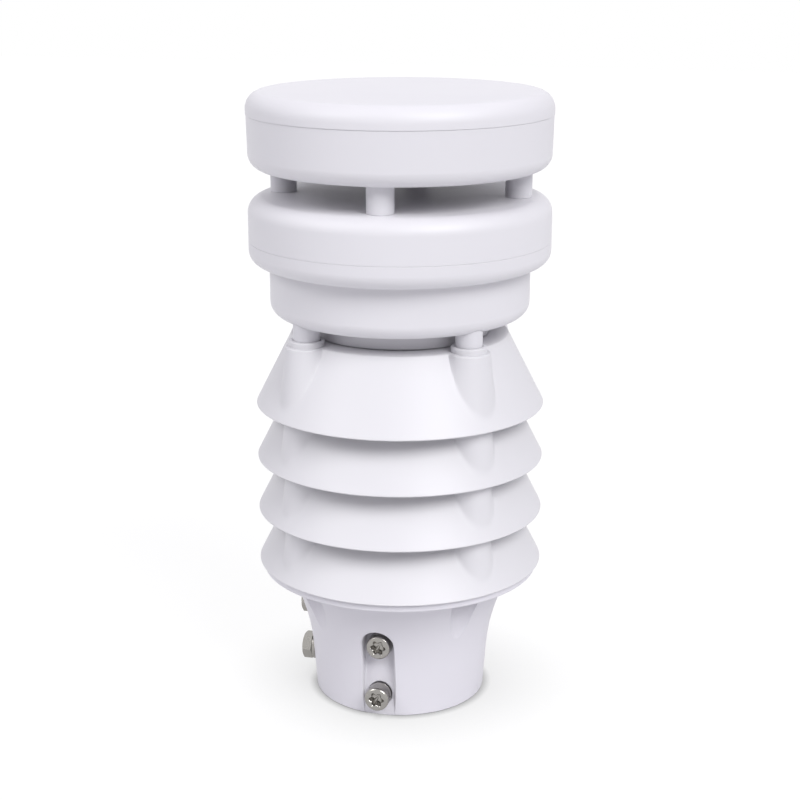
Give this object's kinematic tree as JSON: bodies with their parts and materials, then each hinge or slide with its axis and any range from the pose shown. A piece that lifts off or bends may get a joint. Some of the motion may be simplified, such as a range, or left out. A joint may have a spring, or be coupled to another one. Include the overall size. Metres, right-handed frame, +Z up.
{
  "type": "weather station",
  "caption": "Mast-top weather station with an open ultrasonic wind gap between two discs, a louvred sensor shield and a flared mast socket with clamp screws.",
  "frame": {"origin": "middle of the mast socket's lower rim, on the surface that the station stands on", "axes": "+Z up along the mast; -Y is the front, with the socket-head clamp screws; -X is the side with the hexagon-head clamp bolts"},
  "size_m": [0.1202, 0.1202, 0.2487],
  "materials": {
    "shell_white": "satin white moulded plastic",
    "louvre_white": "satin white moulded plastic",
    "post_white": "satin white moulded plastic",
    "socket_white": "satin white moulded plastic",
    "stainless": "turned stainless steel",
    "tapped_brass": "milled brass",
    "nickel": "nickel plate",
    "black_plastic": "black moulded plastic",
    "black_rubber": "black seal rubber",
    "circuit_board": "green solder mask",
    "sensor_face": "grey anodised can",
    "cable_sheath": "black cable sheath",
    "filter_sinter": "off-white sintered filter"
  },
  "bodies": {
    "station": {"top_cap": "shell_white", "cap_seal": "black_rubber", "wind_housing": "shell_white", "transducer_front_right": "sensor_face", "transducer_back_right": "sensor_face", "transducer_back_left": "sensor_face", "transducer_front_left": "sensor_face", "driver_board": "circuit_board", "driver_board_screw_1": "stainless", "driver_board_screw_2": "stainless", "driver_board_screw_3": "stainless", "wind_post_front": "post_white", "wind_post_right": "post_white", "wind_post_back": "post_white", "wind_post_left": "post_white", "reflector_cover": "shell_white", "disc_seal": "black_rubber", "lower_housing": "shell_white", "main_board": "circuit_board", "main_board_screw_1": "stainless", "main_board_screw_2": "stainless", "main_board_screw_3": "stainless", "neck": "louvre_white", "probe_stem": "black_plastic", "probe_filter": "filter_sinter", "humidity_sensor": "circuit_board", "column_front_right": "post_white", "column_back_right": "post_white", "column_back_left": "post_white", "column_front_left": "post_white", "tie_bolt_front_right": "stainless", "tie_bolt_back_right": "stainless", "tie_bolt_back_left": "stainless", "tie_bolt_front_left": "stainless", "tie_nut_front_right": "stainless", "tie_nut_back_right": "stainless", "tie_nut_back_left": "stainless", "tie_nut_front_left": "stainless", "louvre_1": "louvre_white", "louvre_2": "louvre_white", "louvre_3": "louvre_white", "louvre_4": "louvre_white", "base_plate": "socket_white", "mast_socket": "socket_white", "front_thread_bar": "tapped_brass", "side_thread_bar": "tapped_brass", "connector_body": "nickel", "connector_gasket": "black_rubber", "connector_nut": "nickel", "connector_insert": "black_plastic", "harness_cable": "cable_sheath", "cable_grommet": "black_rubber"},
    "front_upper_washer": {"front_washer_upper": "stainless"},
    "front_upper_screw": {"front_clamp_screw_upper": "stainless"},
    "front_lower_washer": {"front_washer_lower": "stainless"},
    "front_lower_screw": {"front_clamp_screw_lower": "stainless"},
    "side_upper_washer": {"side_washer_upper": "stainless"},
    "side_upper_bolt": {"side_clamp_bolt_upper": "stainless"},
    "side_lower_washer": {"side_washer_lower": "stainless"},
    "side_lower_bolt": {"side_clamp_bolt_lower": "stainless"}
  },
  "joints": [
    {"name": "front_upper_advance", "type": "slide", "parent": "station", "child": "front_upper_washer", "axis": [0, 1, 0], "range_m": [-0.005, 0]},
    {"name": "front_upper_turn", "type": "hinge", "parent": "front_upper_washer", "child": "front_upper_screw", "pos_m": [0, -0.0315, 0.0302], "axis": [0, 1, 0], "range_deg": [-1800, 0]},
    {"name": "front_lower_advance", "type": "slide", "parent": "station", "child": "front_lower_washer", "axis": [0, 1, 0], "range_m": [-0.004, 0.00125]},
    {"name": "front_lower_turn", "type": "hinge", "parent": "front_lower_washer", "child": "front_lower_screw", "pos_m": [0, -0.0343, 0.0087], "axis": [0, 1, 0], "range_deg": [-1440, 450]},
    {"name": "side_upper_advance", "type": "slide", "parent": "station", "child": "side_upper_washer", "axis": [1, 0, 0], "range_m": [-0.0028, 0.0062]},
    {"name": "side_upper_turn", "type": "hinge", "parent": "side_upper_washer", "child": "side_upper_bolt", "pos_m": [-0.038, 0, 0.033], "axis": [1, 0, 0], "range_deg": [-1008, 2232]},
    {"name": "side_lower_advance", "type": "slide", "parent": "station", "child": "side_lower_washer", "axis": [1, 0, 0], "range_m": [-0.0028, 0.0062]},
    {"name": "side_lower_turn", "type": "hinge", "parent": "side_lower_washer", "child": "side_lower_bolt", "pos_m": [-0.038, 0, 0.0115], "axis": [1, 0, 0], "range_deg": [-1008, 2232]}
  ],
  "couplings": [
    {"joint": "front_upper_turn", "follows": "front_upper_advance", "rad_per_m": 6283.2},
    {"joint": "front_lower_turn", "follows": "front_lower_advance", "rad_per_m": 6283.2},
    {"joint": "side_upper_turn", "follows": "side_upper_advance", "rad_per_m": 6283.2},
    {"joint": "side_lower_turn", "follows": "side_lower_advance", "rad_per_m": 6283.2}
  ]
}
